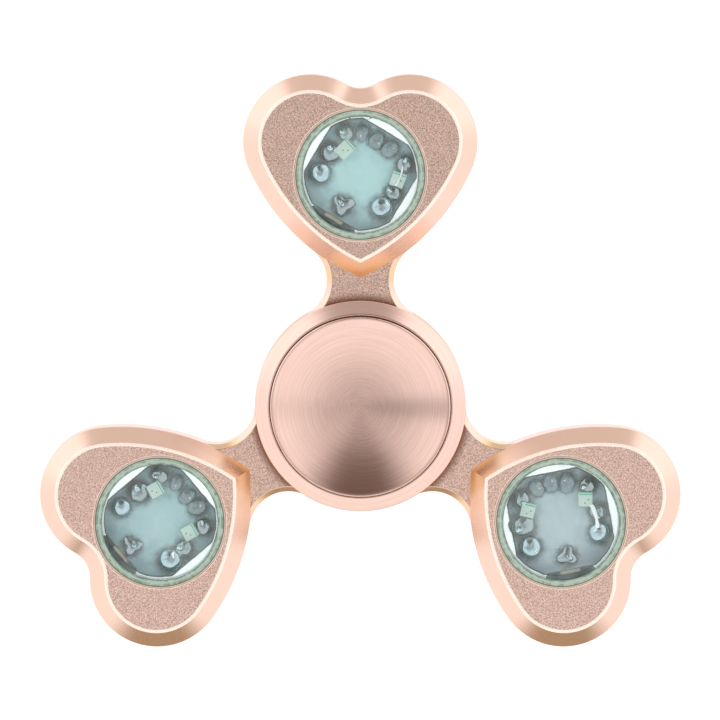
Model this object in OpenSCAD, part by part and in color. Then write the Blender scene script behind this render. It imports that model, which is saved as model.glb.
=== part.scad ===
// Three-armed fidget spinner. Each arm ends in a thick bevelled heart that carries a round light capsule,
// and a ball bearing in the hub lets the whole body turn between two finger caps.
// Frame: the spin axis is Z, z = 0 is the rim that the rear cap rests on, and the first arm points along +Y.

/* [Body] */
// Thickness of the hearts and of the hub
body_t = 9; // [8.8:0.1:9.6]
// Distance from the spin axis to the centre of each light capsule
arm_reach = 28; // [27.6:0.1:29]
// Width and depth of the bevel round each heart
bevel_w = 1.95; // [1.9:0.05:2.2]
// How far the necks lie below the face of the hearts
neck_step = 1.8; // [1.5:0.05:1.85]

/* [Heart outline] */
// Radius of the two lobes
lobe_r = 8.15; // [8:0.05:8.3]
// Distance from the arm's centre line to the centre of a lobe
lobe_out = 6; // [5.9:0.05:6.1]
// Distance from the capsule's centre outwards to the lobe centres
lobe_ahead = 3.9; // [3.7:0.05:4.1]
// Radius of the rounded notch between the lobes
notch_r = 3.5; // [3.2:0.05:3.8]
// Radius of the long curved sides
side_r = 26.2; // [25.5:0.1:27]
// Distance from the capsule's centre back to the heart's point
point_back = 12.65; // [12.5:0.05:12.8]

/* [Hub and necks] */
// Outer radius of the hub
hub_r = 12.75; // [12.6:0.05:12.9]
// Outer radius of the flat lip at the hub's mouth
hub_lip_r = 11.2; // [11.15:0.05:11.4]
// Depth of the hub's shallow bevel
hub_bevel_t = 1.1; // [0.8:0.05:1.6]
// Radius of the hollow at each side of a neck
neck_hollow_r = 4.75; // [4.5:0.05:5]
// Width and depth of the bevel along the edges of a neck
neck_bevel = 0.6; // [0.3:0.05:0.7]

/* [Bearing] */
// Outer diameter of the bearing
bearing_od = 22; // [22]
// Bore of the bearing
bearing_id = 8; // [8]
// Width of the bearing
bearing_t = 7; // [7]
// Diameter of a ball
ball_d = 3.969; // [3.969]
// Number of balls
ball_count = 7; // [5:7]

/* [Finger caps] */
// Radius of a finger cap
cap_r = 10.8; // [10.5:0.05:10.8]
// How far a cap stands above the hearts
cap_proud = 0.9; // [0.7:0.05:1.2]
// Depth of the round dish under the thumb
dish_depth = 1.1; // [0.8:0.05:1.2]

/* [Light capsule] */
// Outer radius of the capsule
capsule_r = 8; // [7.8:0.05:8]
// Thickness of its clear wall
capsule_wall = 1; // [0.9:0.05:1]
// Thickness of the clear lens and of the capsule's floor
lens_t = 0.8; // [0.6:0.05:0.8]
// Diameter of the coin cell
cell_d = 12.5; // [12:0.1:12.5]
// Height of the coin cell
cell_t = 2; // [1.6:0.1:2]
// Travel of the push button
button_travel = 0.3; // [0.2:0.05:0.3]

/* [Hidden] */
$fn = 120;

ARMS = ["top", "left", "right"];
arm_angle = [90, 210, 330];
CAPSULE_PARTS = ["capsule_case", "capsule_lens", "reflector_ring", "circuit_board", "leds",
    "solder_joints", "controller_chip", "coin_cell", "positive_contact", "negative_contact",
    "cell_carrier", "snap_dome", "push_button"];
NODES = concat(
    ["spinner_body", "front_cap", "rear_cap", "outer_race", "inner_race", "ball_cage",
     "front_shield", "rear_shield"],
    [for (n = [1:ball_count]) str("ball_", n)],
    [for (p = CAPSULE_PARTS) for (a = ARMS) str(p, "_", a)]);
node = "all";

// Heights, measured from the middle plane of the body
face_z = body_t / 2;
neck_z = face_z - neck_step;
rim_z = face_z + cap_proud;
race_z = bearing_t / 2;

// Places in a heart's own plane: the capsule's centre at [0, 0], the arm pointing along +Y.
// Only the right half is worked out, because the left half mirrors it.
function crossing(p, rp, q, rq, side) =
    let (d = norm(q - p), u = (q - p) / d, a = (rp * rp - rq * rq + d * d) / (2 * d),
         h = sqrt(rp * rp - a * a))
    p + a * u + side * h * [-u[1], u[0]];
function heading(v) = atan2(v[1], v[0]);
function polar(r, a) = [r * cos(a), r * sin(a)];

hub_c = [0, -arm_reach];
lobe_c = [lobe_out, lobe_ahead];
point_c = [0, -point_back];
// Where two curves blend they bite this far into each other, so that their surfaces cross cleanly
bite = 0.01;
side_c = crossing(point_c, side_r, lobe_c, side_r - lobe_r + bite, 1);
notch_c = [0, lobe_ahead + sqrt(pow(lobe_r + notch_r - bite, 2) - lobe_out * lobe_out)];
hollow_c = crossing(hub_c, hub_r + neck_hollow_r - bite, side_c, side_r + neck_hollow_r - bite, -1);
side_to_lobe = heading(lobe_c - side_c);
lobe_to_notch = heading(notch_c - lobe_c);

rose = [0.86, 0.66, 0.57];
steel = [0.75, 0.76, 0.78];
white_plastic = [0.93, 0.95, 0.94];
clear_green = [0.62, 0.8, 0.72, 0.5];

function shown(name) = node == "all" || node == name;

// Puts the children on one arm, with the capsule's centre at their origin
module on_arm(i) {
    rotate([0, 0, arm_angle[i] - 90])
        translate([0, arm_reach, 0])
            children();
}

// Lifts children from the middle plane to the frame whose z = 0 is the resting rim
module lifted() {
    translate([0, 0, rim_z])
        children();
}

module both_faces() {
    children();
    mirror([0, 0, 1])
        children();
}

module both_sides() {
    children();
    mirror([1, 0, 0])
        children();
}

module ring(r_in, r_out, z_low, z_high) {
    translate([0, 0, z_low])
        difference() {
            cylinder(r = r_out, h = z_high - z_low);
            translate([0, 0, -1])
                cylinder(r = r_in, h = z_high - z_low + 2);
        }
}

module disc(r, z_low, z_high) {
    translate([0, 0, z_low])
        cylinder(r = r, h = z_high - z_low);
}

module block(x, y, z) {
    translate([x[0], y[0], z[0]])
        cube([x[1] - x[0], y[1] - y[0], z[1] - z[0]]);
}

// ---------------------------------------------------------------- spinner body

// The body's solids run past its two faces, and one slab trims them all at the end.
// A round solid with both rims bevelled, standing past each face by the amount given
module bevelled_disc(centre, r, past) {
    top_r = r - bevel_w - past;
    translate(centre)
        rotate_extrude($fn = 240)
            polygon([[0, -face_z - past], [top_r, -face_z - past], [r, bevel_w - face_z],
                     [r, face_z - bevel_w], [top_r, face_z + past], [0, face_z + past]]);
}

// A prism that stands past each face by the amount given
module prism(points, past) {
    translate([0, 0, -face_z - past])
        linear_extrude(height = body_t + 2 * past)
            polygon(points);
}

function mirrored(v) = [-v[0], v[1]];

// The two long sides, which meet in a mitre at the heart's point, up to the lobes
module heart_sides() {
    inner = lobe_c + polar(-1, side_to_lobe);
    outer = lobe_c + polar(lobe_r + 6, side_to_lobe);
    intersection() {
        bevelled_disc(side_c, side_r, 0.4);
        bevelled_disc(mirrored(side_c), side_r, 0.4);
        prism([[-25, -30], [25, -30], outer, inner, mirrored(inner), mirrored(outer)], 1);
    }
}

// The middle between the lobes, with a rounded notch whose rims are bevelled too
module heart_notch() {
    inner = lobe_c + polar(-1, lobe_to_notch);
    corner = lobe_c + polar(lobe_r - 0.1, lobe_to_notch);
    past = 0.6;
    difference() {
        prism([inner, corner, mirrored(corner), mirrored(inner)], past);
        translate([notch_c[0], notch_c[1], -body_t])
            cylinder(r = notch_r, h = 2 * body_t);
        both_faces()
            translate([notch_c[0], notch_c[1], face_z - bevel_w])
                cylinder(r1 = notch_r, r2 = notch_r + bevel_w + 1, h = bevel_w + 1);
    }
}

module heart() {
    both_sides()
        bevelled_disc(lobe_c, lobe_r, 0.2);
    heart_sides();
    heart_notch();
}

// The lower plate between the hub and a heart, with hollow sides and bevelled edges
module neck() {
    low = hollow_c[1] - neck_hollow_r * 1.05;
    high = hollow_c[1] + neck_hollow_r * 0.85;
    bevel_c = hollow_c + [-0.05, -0.35];
    bevel_over = 0.5;
    difference() {
        translate([0, 0, -neck_z])
            linear_extrude(height = 2 * neck_z)
                polygon([[-hollow_c[0] * 0.7, low], [hollow_c[0] * 0.7, low],
                         [hollow_c[0] * 0.72, high], [-hollow_c[0] * 0.72, high]]);
        both_sides() {
            translate([hollow_c[0], hollow_c[1], -body_t / 2])
                cylinder(r = neck_hollow_r, h = body_t);
            both_faces()
                translate([bevel_c[0], bevel_c[1], neck_z - neck_bevel])
                    cylinder(r1 = neck_hollow_r, r2 = neck_hollow_r + neck_bevel + bevel_over,
                             h = neck_bevel + bevel_over);
        }
    }
}

// The necks' faces run into the upright wall below the hub's bevel
module hub() {
    low_z = face_z - hub_bevel_t;
    past = 0.8;
    top_r = hub_lip_r - past * (hub_r - hub_lip_r) / hub_bevel_t;
    rotate_extrude()
        polygon([[0, -face_z - past], [top_r, -face_z - past], [hub_r, -low_z], [hub_r, low_z],
                 [top_r, face_z + past], [0, face_z + past]]);
}

// Clearance of the capsules in their bores, and the small chamfer at each mouth
bore_r = capsule_r + 0.02;
mouth_chamfer = 0.14;

module spinner_body() {
    color(rose)
        difference() {
            intersection() {
                union() {
                    hub();
                    for (i = [0:2])
                        on_arm(i) {
                            heart();
                            neck();
                        }
                }
                disc(2 * arm_reach, -face_z, face_z);
            }
            disc(bearing_od / 2, -body_t, body_t);
            for (i = [0:2])
                on_arm(i) {
                    disc(bore_r, -body_t, body_t);
                    both_faces()
                        translate([0, 0, face_z - mouth_chamfer])
                            cylinder(r1 = bore_r, r2 = bore_r + 2 * mouth_chamfer, h = 2 * mouth_chamfer);
                }
        }
}

// ---------------------------------------------------------------- finger caps

cap_flange_z = race_z + 0.4;
cap_boss_r = 5.2;
cap_sleeve_r = bearing_id / 2 - 0.02;
cap_edge = 0.12;
rim_land = 0.2;
stud_r = 2.45;
stud_len = 2.8;
socket_r = stud_r + 0.05;
socket_len = 3.1;
split_z = 0.05;

cap_outside = [[0, rim_z], [cap_r - cap_edge, rim_z], [cap_r, rim_z - cap_edge], [cap_r, cap_flange_z],
               [cap_boss_r, cap_flange_z], [cap_boss_r, race_z], [cap_sleeve_r, race_z],
               [cap_sleeve_r, split_z]];

// The dish is cut with a ball that meets the cap's face at the inner edge of its rim
dish_r = cap_r - cap_edge - rim_land;
dish_ball_r = (dish_r * dish_r + dish_depth * dish_depth) / (2 * dish_depth);

// A turned cap with the given profile on its inside
module cap(inside) {
    color(rose)
        difference() {
            rotate_extrude()
                polygon(concat(cap_outside, inside));
            translate([0, 0, rim_z - dish_depth + dish_ball_r])
                sphere(r = dish_ball_r, $fn = 180);
        }
}

// The front cap has the socket, and the rear cap the stud that screws into it
module front_cap() {
    cap([[socket_r, split_z], [socket_r, socket_len], [0, socket_len]]);
}

module rear_cap() {
    mirror([0, 0, 1])
        cap([[stud_r, split_z], [stud_r, -stud_len], [0, -stud_len]]);
}

// ---------------------------------------------------------------- ball bearing

ball_r = ball_d / 2;
pitch_r = 7.5;
// Running clearance at the bottom of each groove, and the groove's own radius
ball_play = 0.015;
groove_r = ball_d * 0.52;
race_edge = 0.3;
outer_shoulder_r = 8.9;
inner_shoulder_r = 6.05;
shield_seat_r = 9.6;
shield_seat_z = race_z - 0.75;

module outer_race() {
    out = bearing_od / 2 - 0.005;
    color(steel)
        rotate_extrude()
            difference() {
                polygon([[outer_shoulder_r, -shield_seat_z], [shield_seat_r, -shield_seat_z],
                         [shield_seat_r, -race_z], [out - race_edge, -race_z], [out, race_edge - race_z],
                         [out, race_z - race_edge], [out - race_edge, race_z], [shield_seat_r, race_z],
                         [shield_seat_r, shield_seat_z], [outer_shoulder_r, shield_seat_z]]);
                translate([pitch_r + ball_r + ball_play - groove_r, 0])
                    circle(r = groove_r);
            }
}

module inner_race() {
    bore = bearing_id / 2;
    color(steel)
        rotate_extrude()
            difference() {
                polygon([[bore, race_edge - race_z], [bore + race_edge, -race_z],
                         [inner_shoulder_r, -race_z], [inner_shoulder_r, race_z],
                         [bore + race_edge, race_z], [bore, race_z - race_edge]]);
                translate([pitch_r - ball_r - ball_play + groove_r, 0])
                    circle(r = groove_r);
            }
}

module at_ball(n) {
    rotate([0, 0, 90 + (n - 1) * 360 / ball_count])
        translate([pitch_r, 0, 0])
            children();
}

module ball() {
    color(steel)
        sphere(d = ball_d, $fn = 64);
}

// A crown cage: a band behind the balls, and fingers between them
module ball_cage() {
    color([0.9, 0.87, 0.78])
        difference() {
            ring(pitch_r - 0.8, pitch_r + 0.8, -2.75, 0.9);
            for (n = [1:ball_count])
                at_ball(n)
                    sphere(r = ball_r + 0.06, $fn = 64);
        }
}

module front_shield() {
    seat_out = shield_seat_r - 0.02;
    shield_low = race_z - 0.5;
    shield_high = race_z - 0.2;
    color([0.68, 0.69, 0.71])
        rotate_extrude()
            polygon([[inner_shoulder_r + 0.2, shield_low], [outer_shoulder_r + 0.05, shield_low],
                     [outer_shoulder_r + 0.05, shield_seat_z], [seat_out, shield_seat_z],
                     [seat_out, shield_high], [inner_shoulder_r + 0.2, shield_high]]);
}

// ---------------------------------------------------------------- light capsule

// Heights in a capsule, from the middle plane of the body. The lens faces +Z and the button faces -Z.
lens_low = face_z - lens_t;
floor_high = lens_t - face_z;
board_low = 1.9;
board_high = 2.7;
carrier_low = -2.4;
carrier_high = -1.6;
contact_t = 0.2;
cell_low = carrier_high + contact_t;
cell_high = cell_low + cell_t;

inside_r = capsule_r - capsule_wall;
carrier_r = inside_r - 0.05;
sleeve_in_r = cell_d / 2 + 0.07;
board_r = 6.6;
board_flat = 6.1;
button_r = 2.5;
button_flange_r = 3.3;
button_nub_r = 0.8;
dome_base_r = 2.2;
dome_rise = button_travel + 0.2;
dome_t = 0.1;
button_play = 0.05;

// The board is turned differently in each arm. Its own +X points at the positive contact.
board_turn = [239, 220, 281];

// Solder joints on the board: heading, distance from the centre, radius, height
joints = [[0, 4.5, 1, 0.5], [64, 4.8, 1.2, 0.7], [95, 4.3, 0.85, 0.6], [131, 5.5, 0.8, 0.55],
          [158, 4.8, 0.9, 0.6], [184, 4.2, 0.75, 0.5], [206, 5.1, 0.8, 0.5], [232, 5.6, 0.85, 0.6],
          [266, 4.3, 0.9, 0.65], [298, 5.1, 1.05, 0.65]];
// Light-emitting diodes: heading, distance from the centre, turn about their own middle
led_places = [[118, 4.05, 5], [244, 4.05, -12]];
led_side = 1.5;
led_t = 0.7;

module on_board(i) {
    rotate([0, 0, arm_angle[i] - 90])
        translate([0, arm_reach, 0])
            rotate([0, 0, board_turn[i] - arm_angle[i] + 90])
                children();
}

module capsule_case() {
    edge = 0.12;
    color(clear_green)
        difference() {
            rotate_extrude()
                polygon([[0, -face_z], [capsule_r - edge, -face_z], [capsule_r, edge - face_z],
                         [capsule_r, face_z - edge], [capsule_r - edge, face_z], [0, face_z]]);
            disc(inside_r, floor_high, body_t);
            disc(button_r + button_play, -body_t, 0);
        }
}

module capsule_lens() {
    edge = 0.1;
    r = inside_r - 0.02;
    color([0.85, 0.95, 0.93, 0.35])
        rotate_extrude()
            polygon([[0, lens_low], [r, lens_low], [r, face_z - edge], [r - edge, face_z], [0, face_z]]);
}

// A sleeve open on one side, where the positive contact climbs past the cell
module reflector_ring() {
    slot = 25;
    color(white_plastic)
        rotate([0, 0, slot])
            rotate_extrude(angle = 360 - 2 * slot)
                polygon([[sleeve_in_r, carrier_high], [carrier_r, carrier_high],
                         [carrier_r, board_low], [sleeve_in_r, board_low]]);
}

module circuit_board() {
    color([0.72, 0.86, 0.85])
        intersection() {
            disc(board_r, board_low, board_high);
            block([-board_flat, board_flat], [-board_flat, board_flat], [board_low - 1, board_high + 1]);
        }
}

module leds() {
    cup_r = 0.55;
    cup_depth = 0.15;
    for (p = led_places)
        color([0.7, 0.88, 0.8])
            translate(concat(polar(p[1], p[0]), [board_high]))
                rotate([0, 0, p[2]])
                    difference() {
                        block([-led_side / 2, led_side / 2], [-led_side / 2, led_side / 2], [0, led_t]);
                        disc(cup_r, led_t - cup_depth, led_t + 1);
                    }
}

// Each joint is the cap of a ball, cut off at the board
module solder_joints() {
    for (j = joints) {
        cap_r = (j[2] * j[2] + j[3] * j[3]) / (2 * j[3]);
        color(steel)
            translate(concat(polar(j[1], j[0]), [board_high]))
                intersection() {
                    translate([0, 0, j[3] - cap_r])
                        sphere(r = cap_r, $fn = 40);
                    disc(j[2] + 0.5, 0, j[3] + 0.5);
                }
    }
}

module controller_chip() {
    chip_x = 2.4;
    chip_y = 1.9;
    chip_t = 1;
    color([0.12, 0.12, 0.13])
        translate([0, 3.4, 0])
            block([-chip_x, chip_x], [-chip_y, chip_y], [board_low - chip_t, board_low]);
}

module coin_cell() {
    step_z = cell_high - 0.3;
    edge = 0.15;
    r = cell_d / 2;
    color(steel)
        rotate_extrude()
            polygon([[0, cell_low], [r - edge, cell_low], [r, cell_low + edge], [r, step_z - edge],
                     [r - edge, step_z], [r - 0.85, step_z], [r - 0.85, cell_high], [0, cell_high]]);
}

// A strip under the cell, bent up beside it and in again under the board
module positive_contact() {
    half_w = 1.2;
    strip_out = sleeve_in_r + 0.16;
    leg_in = cell_d / 2 + 0.03;
    color([0.8, 0.76, 0.62])
        union() {
            block([-2.5, strip_out], [-half_w, half_w], [carrier_high, cell_low]);
            block([leg_in, strip_out], [-half_w, half_w], [carrier_high, board_low]);
            block([3.9, strip_out], [-half_w, half_w], [board_low - contact_t, board_low]);
        }
}

// A stepped strip under the board whose foot presses on the top of the cell
module negative_contact() {
    half_w = 1.1;
    color([0.8, 0.76, 0.62])
        union() {
            block([-5.2, -2.6], [-half_w, half_w], [board_low - contact_t, board_low]);
            block([-2.8, -2.6], [-half_w, half_w], [cell_high, board_low]);
            block([-2.8, 0.8], [-half_w, half_w], [cell_high, cell_high + contact_t]);
        }
}

module cell_carrier() {
    color(white_plastic)
        ring(1.2, carrier_r, carrier_low, carrier_high);
}

// The metal dome that clicks: a thin cap of a ball, standing on the carrier
module snap_dome() {
    dome_r = (dome_base_r * dome_base_r + dome_rise * dome_rise) / (2 * dome_rise);
    centre_z = carrier_low - dome_rise + dome_r;
    color(steel)
        intersection() {
            difference() {
                translate([0, 0, centre_z])
                    sphere(r = dome_r, $fn = 96);
                translate([0, 0, centre_z])
                    sphere(r = dome_r - dome_t, $fn = 96);
            }
            disc(dome_base_r + 1, carrier_low - 2, carrier_low);
        }
}

module push_button() {
    flange_low = floor_high + button_play;
    flange_high = flange_low + 0.4;
    nub_z = carrier_low - dome_rise - button_play;
    top_z = -face_z - 0.5;
    edge = 0.25;
    color([0.9, 0.92, 0.9])
        rotate_extrude()
            polygon([[0, top_z], [button_r - edge, top_z], [button_r, top_z + edge],
                     [button_r, flange_low], [button_flange_r, flange_low],
                     [button_flange_r, flange_high], [button_nub_r, flange_high],
                     [button_nub_r, nub_z], [0, nub_z]]);
}

// ---------------------------------------------------------------- the assembly

lifted() {
    if (shown("spinner_body")) spinner_body();
    if (shown("front_cap")) front_cap();
    if (shown("rear_cap")) rear_cap();
    if (shown("outer_race")) outer_race();
    if (shown("inner_race")) inner_race();
    if (shown("ball_cage")) ball_cage();
    if (shown("front_shield")) front_shield();
    if (shown("rear_shield")) mirror([0, 0, 1]) front_shield();
    for (n = [1:ball_count])
        if (shown(str("ball_", n))) at_ball(n) ball();
    for (i = [0:2]) {
        if (shown(str("capsule_case_", ARMS[i]))) on_arm(i) capsule_case();
        if (shown(str("capsule_lens_", ARMS[i]))) on_arm(i) capsule_lens();
        if (shown(str("reflector_ring_", ARMS[i]))) on_board(i) reflector_ring();
        if (shown(str("circuit_board_", ARMS[i]))) on_board(i) circuit_board();
        if (shown(str("leds_", ARMS[i]))) on_board(i) leds();
        if (shown(str("solder_joints_", ARMS[i]))) on_board(i) solder_joints();
        if (shown(str("controller_chip_", ARMS[i]))) on_board(i) controller_chip();
        if (shown(str("coin_cell_", ARMS[i]))) on_board(i) coin_cell();
        if (shown(str("positive_contact_", ARMS[i]))) on_board(i) positive_contact();
        if (shown(str("negative_contact_", ARMS[i]))) on_board(i) negative_contact();
        if (shown(str("cell_carrier_", ARMS[i]))) on_arm(i) cell_carrier();
        if (shown(str("snap_dome_", ARMS[i]))) on_arm(i) snap_dome();
        if (shown(str("push_button_", ARMS[i]))) on_arm(i) push_button();
    }
}
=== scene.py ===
"""Looks of the finger spinner: a machined and blasted body, turned caps, and three light capsules.

Lengths are millimetres until a mesh is finished, and heights are measured from the floor the spinner lies on.
"""
import math
import random

import bmesh
import bpy
from mathutils import Matrix, Vector, noise


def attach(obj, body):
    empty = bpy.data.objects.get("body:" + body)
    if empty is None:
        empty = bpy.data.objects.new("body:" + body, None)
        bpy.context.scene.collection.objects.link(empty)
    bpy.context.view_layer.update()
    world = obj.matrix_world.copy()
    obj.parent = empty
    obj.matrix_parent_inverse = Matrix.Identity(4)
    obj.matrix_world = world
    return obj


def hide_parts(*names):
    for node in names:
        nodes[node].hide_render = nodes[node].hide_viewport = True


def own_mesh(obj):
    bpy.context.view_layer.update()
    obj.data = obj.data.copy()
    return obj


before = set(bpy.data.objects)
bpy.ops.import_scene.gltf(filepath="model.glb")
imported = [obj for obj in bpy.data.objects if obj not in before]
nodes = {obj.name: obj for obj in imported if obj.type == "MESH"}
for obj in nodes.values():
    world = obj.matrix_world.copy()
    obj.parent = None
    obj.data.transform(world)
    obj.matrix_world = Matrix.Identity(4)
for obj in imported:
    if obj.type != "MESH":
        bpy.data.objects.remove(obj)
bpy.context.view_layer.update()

MM = 0.001
MID = 5.4
FACE = 4.5
BEVEL = 1.95
NECK_Z = 2.7
ARM_REACH = 28.0
ARMS = ("top", "left", "right")
ARM_ANGLE = {"top": 90, "left": 210, "right": 330}
BOARD_TURN = {"top": 239, "left": 220, "right": 281}

LOBE_R = 8.15
LOBE_C = Vector((6, 3.9))
NOTCH_R = 3.5
SIDE_R = 26.2
POINT_C = Vector((0, -12.65))
HUB_C = Vector((0, -ARM_REACH))
HUB_R = 12.75
HUB_LIP_R = 11.2
HUB_BEVEL = 1.1
BORE_R = 11.0
HOLLOW_R = 4.75
NECK_BEVEL = 0.6
NECK_INTO_HUB_R = 11.6
NECK_INTO_HEART = 0.8
CAPSULE_BORE_R = 8.02
CAP_R = 10.87
DISH_R = 10.65
DISH_DEPTH = 1.1
CAP_RIM_Z = 5.4
CAP_FLANGE_Z = 3.9
CAP_BOSS_R = 5.2
CAP_BOSS_Z = 3.5
CAP_SLEEVE_R = 3.98
CAP_SPLIT_Z = 0.06
SOCKET_R = 2.5
SOCKET_LENGTH = 3.1
STUD_R = 2.45
STUD_LENGTH = 2.8
EDGE_SIZE = 0.11


# The machined body's materials, in the order of its slots.
FLAT, MILL, TURN, EDGE, WALL = range(5)

# The solder's materials, in the order of their slots.
DULL, SMOOTH, CLOUDY, FLUX_SHADOW_SLOT, PAINTED_GLINT = range(5)


# ---------------------------------------------------------------- plane geometry

def polar(radius, degrees):
    a = math.radians(degrees)
    return Vector((radius * math.cos(a), radius * math.sin(a)))


def heading(v):
    return math.degrees(math.atan2(v.y, v.x))


def crossing(p, rp, q, rq, side):
    """Where a circle about p meets a circle about q."""
    d = (q - p).length
    u = (q - p) / d
    a = (rp * rp - rq * rq + d * d) / (2 * d)
    h = math.sqrt(rp * rp - a * a)
    return p + a * u + side * h * Vector((-u.y, u.x))


SIDE_C = crossing(POINT_C, SIDE_R, LOBE_C, SIDE_R - LOBE_R, 1)
NOTCH_C = Vector((0, LOBE_C.y + math.sqrt((LOBE_R + NOTCH_R) ** 2 - LOBE_C.x ** 2)))
HOLLOW_C = crossing(HUB_C, HUB_R + HOLLOW_R, SIDE_C, SIDE_R + HOLLOW_R, -1)
SIDE_TO_LOBE = heading(LOBE_C - SIDE_C)
LOBE_TO_NOTCH = heading(NOTCH_C - LOBE_C)


def arc(centre, radius, start, end, steps):
    return [centre + polar(radius, start + (end - start) * i / steps) for i in range(steps + 1)]


def heart_ring(inset):
    """The heart's outline drawn a constant distance inside itself, from its point round the right side."""
    side_r = SIDE_R - inset
    tip = -math.degrees(math.acos(-SIDE_C.x / side_r))
    half = arc(SIDE_C, side_r, tip, SIDE_TO_LOBE, 60)
    half += arc(LOBE_C, LOBE_R - inset, SIDE_TO_LOBE, LOBE_TO_NOTCH, 90)[1:]
    half += arc(NOTCH_C, NOTCH_R + inset, LOBE_TO_NOTCH + 180, 270, 30)[1:]
    return half + [Vector((-p.x, p.y)) for p in reversed(half[1:-1])]


def rounded(points, size, closed=False):
    """Rounds the corners of a profile, and holds the flats beside them with a point on each side."""
    points = [Vector(p) for p in points]
    count = len(points)
    out = []
    for i, c in enumerate(points):
        if not closed and i in (0, count - 1):
            out.append(c)
            continue
        to_a = points[i - 1] - c
        to_b = points[(i + 1) % count] - c
        s = min(size, 0.3 * to_a.length, 0.3 * to_b.length)
        p = c + to_a.normalized() * s
        q = c + to_b.normalized() * s
        out.append(c + to_a.normalized() * s * 1.5)
        for t in (0, 0.33, 0.67, 1):
            out.append((1 - t) ** 2 * p + 2 * t * (1 - t) * c + t * t * q)
        out.append(c + to_b.normalized() * s * 1.5)
    return out


# ---------------------------------------------------------------- mesh building

def bridge(bm, ring_a, ring_b, slot=0, closed=True):
    """Quads between two rings of the same length. A ring of one vertex is a pole."""
    count = max(len(ring_a), len(ring_b))
    for i in range(count if closed else count - 1):
        j = (i + 1) % count
        a = [ring_a[0]] if len(ring_a) == 1 else [ring_a[i], ring_a[j]]
        b = [ring_b[0]] if len(ring_b) == 1 else [ring_b[j], ring_b[i]]
        face = bm.faces.new(a + b)
        face.material_index = slot


def lathe(bm, profile, centre=(0, 0), steps=144, slot=0, closed=False):
    """Turns a profile of (radius, height) about a vertical axis."""
    rings = []
    for r, z in profile:
        if r < 1e-6:
            rings.append([bm.verts.new((centre[0], centre[1], z))])
            continue
        rings.append([bm.verts.new((centre[0] + r * math.cos(t), centre[1] + r * math.sin(t), z))
                      for t in (2 * math.pi * i / steps for i in range(steps))])
    for a, b in zip(rings, rings[1:]):
        bridge(bm, a, b, slot)
    if closed:
        bridge(bm, rings[-1], rings[0], slot)
    return rings


def fill_between(bm, outer, inner, slot):
    """A flat face between two closed rings of vertices."""
    edges = []
    for ring in (outer, inner):
        for a, b in zip(ring, ring[1:] + ring[:1]):
            edges.append(bm.edges.get((a, b)) or bm.edges.new((a, b)))
    made = bmesh.ops.triangle_fill(bm, use_beauty=True, edges=edges)
    for item in made["geom"]:
        if isinstance(item, bmesh.types.BMFace):
            item.material_index = slot


def make_piece(name, bm, materials, body, replaced=(), crease=30):
    """Finishes a mesh: normals, sharp edges, metres, materials, and the CAD body it rides on."""
    bmesh.ops.recalc_face_normals(bm, faces=bm.faces)
    limit = math.radians(crease)
    for edge in bm.edges:
        if len(edge.link_faces) == 2:
            a, b = edge.link_faces
            edge.smooth = a.material_index == b.material_index and edge.calc_face_angle(0) < limit
    for face in bm.faces:
        face.smooth = True
    bmesh.ops.scale(bm, vec=(MM, MM, MM), verts=bm.verts)
    mesh = bpy.data.meshes.new(name)
    bm.to_mesh(mesh)
    bm.free()
    for m in materials:
        mesh.materials.append(m)
    obj = bpy.data.objects.new(name, mesh)
    bpy.context.scene.collection.objects.link(obj)
    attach(obj, body)
    if replaced:
        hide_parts(*replaced)
    return obj


def arm_matrix(arm):
    turn = Matrix.Rotation(math.radians(ARM_ANGLE[arm] - 90), 4, "Z")
    return turn @ Matrix.Translation((0, ARM_REACH, MID))


def board_matrix(arm):
    """The frame of a light board: its +X points at the positive contact."""
    centre = polar(ARM_REACH, ARM_ANGLE[arm])
    turn = Matrix.Rotation(math.radians(BOARD_TURN[arm]), 4, "Z")
    return Matrix.Translation((centre.x, centre.y, MID)) @ turn


# ---------------------------------------------------------------- material building

class NodeTree:
    """Shader nodes, built a line at a time."""

    def __init__(self, tree):
        self.tree = tree

    def node(self, kind, **settings):
        made = self.tree.nodes.new("ShaderNode" + kind)
        for key, value in settings.items():
            setattr(made, key, value)
        return made

    def link(self, out, into):
        self.tree.links.new(out, into)

    def math(self, operation, a, b=None):
        made = self.node("Math", operation=operation)
        for socket, value in zip(made.inputs, (a, b)):
            if value is None:
                continue
            if isinstance(value, (int, float)):
                socket.default_value = value
            else:
                self.link(value, socket)
        return made.outputs[0]

    def mix(self, fac, low, high):
        made = self.node("Mix", data_type="RGBA")
        self.link(fac, made.inputs[0])
        for socket, value in ((made.inputs[6], low), (made.inputs[7], high)):
            if isinstance(value, tuple):
                socket.default_value = (*value, 1)
            else:
                self.link(value, socket)
        return made.outputs[2]

    def span(self, value, low, high, to_low=0.0, to_high=1.0):
        """Maps low..high smoothly onto to_low..to_high."""
        made = self.node("MapRange", interpolation_type="SMOOTHSTEP")
        self.link(value, made.inputs["Value"])
        made.inputs["From Min"].default_value = low
        made.inputs["From Max"].default_value = high
        made.inputs["To Min"].default_value = to_low
        made.inputs["To Max"].default_value = to_high
        return made.outputs["Result"]


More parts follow.
